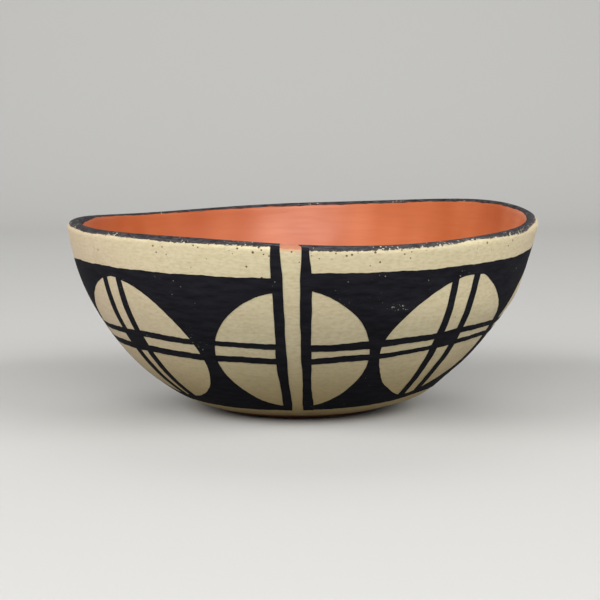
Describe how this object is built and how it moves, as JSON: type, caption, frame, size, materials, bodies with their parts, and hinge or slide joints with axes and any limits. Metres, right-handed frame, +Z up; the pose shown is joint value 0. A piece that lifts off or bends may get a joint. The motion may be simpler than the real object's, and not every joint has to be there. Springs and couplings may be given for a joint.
{
  "type": "pottery bowl",
  "caption": "Hand-built earthenware bowl with a burnished red inside, a cream slip outside and a black painted band of ovals that stops at a break, for serving or display.",
  "frame": {"origin": "middle of the flat foot, on the surface that the bowl stands on", "axes": "+Z up through the mouth, -Y towards the break in the painted band, +X to the right seen from there"},
  "size_m": [0.2044, 0.2043, 0.0871],
  "materials": {
    "fired_clay": "bare fired earthenware, matte",
    "red_slip": "stone-polished red slip, satin",
    "cream_slip": "rag-polished cream slip, soft sheen",
    "foot_wash": "thin red-brown wash, matte",
    "black_paint": "brushed black paint, matte"
  },
  "bodies": {
    "root": {"base_pad": "fired_clay", "wall_coil_1": "fired_clay", "wall_coil_2": "fired_clay", "wall_coil_3": "fired_clay", "wall_coil_4": "fired_clay", "wall_coil_5": "fired_clay", "rim_coil": "fired_clay", "red_slip": "red_slip", "cream_slip": "cream_slip", "foot_wash": "foot_wash", "rim_line": "black_paint", "left_bar": "black_paint", "right_bar": "black_paint", "upper_ground": "black_paint", "lower_ground": "black_paint", "upper_level_line": "black_paint", "lower_level_line": "black_paint", "upper_upright_lines": "black_paint", "lower_upright_lines": "black_paint", "crossing_squares": "black_paint"}
  },
  "joints": []
}
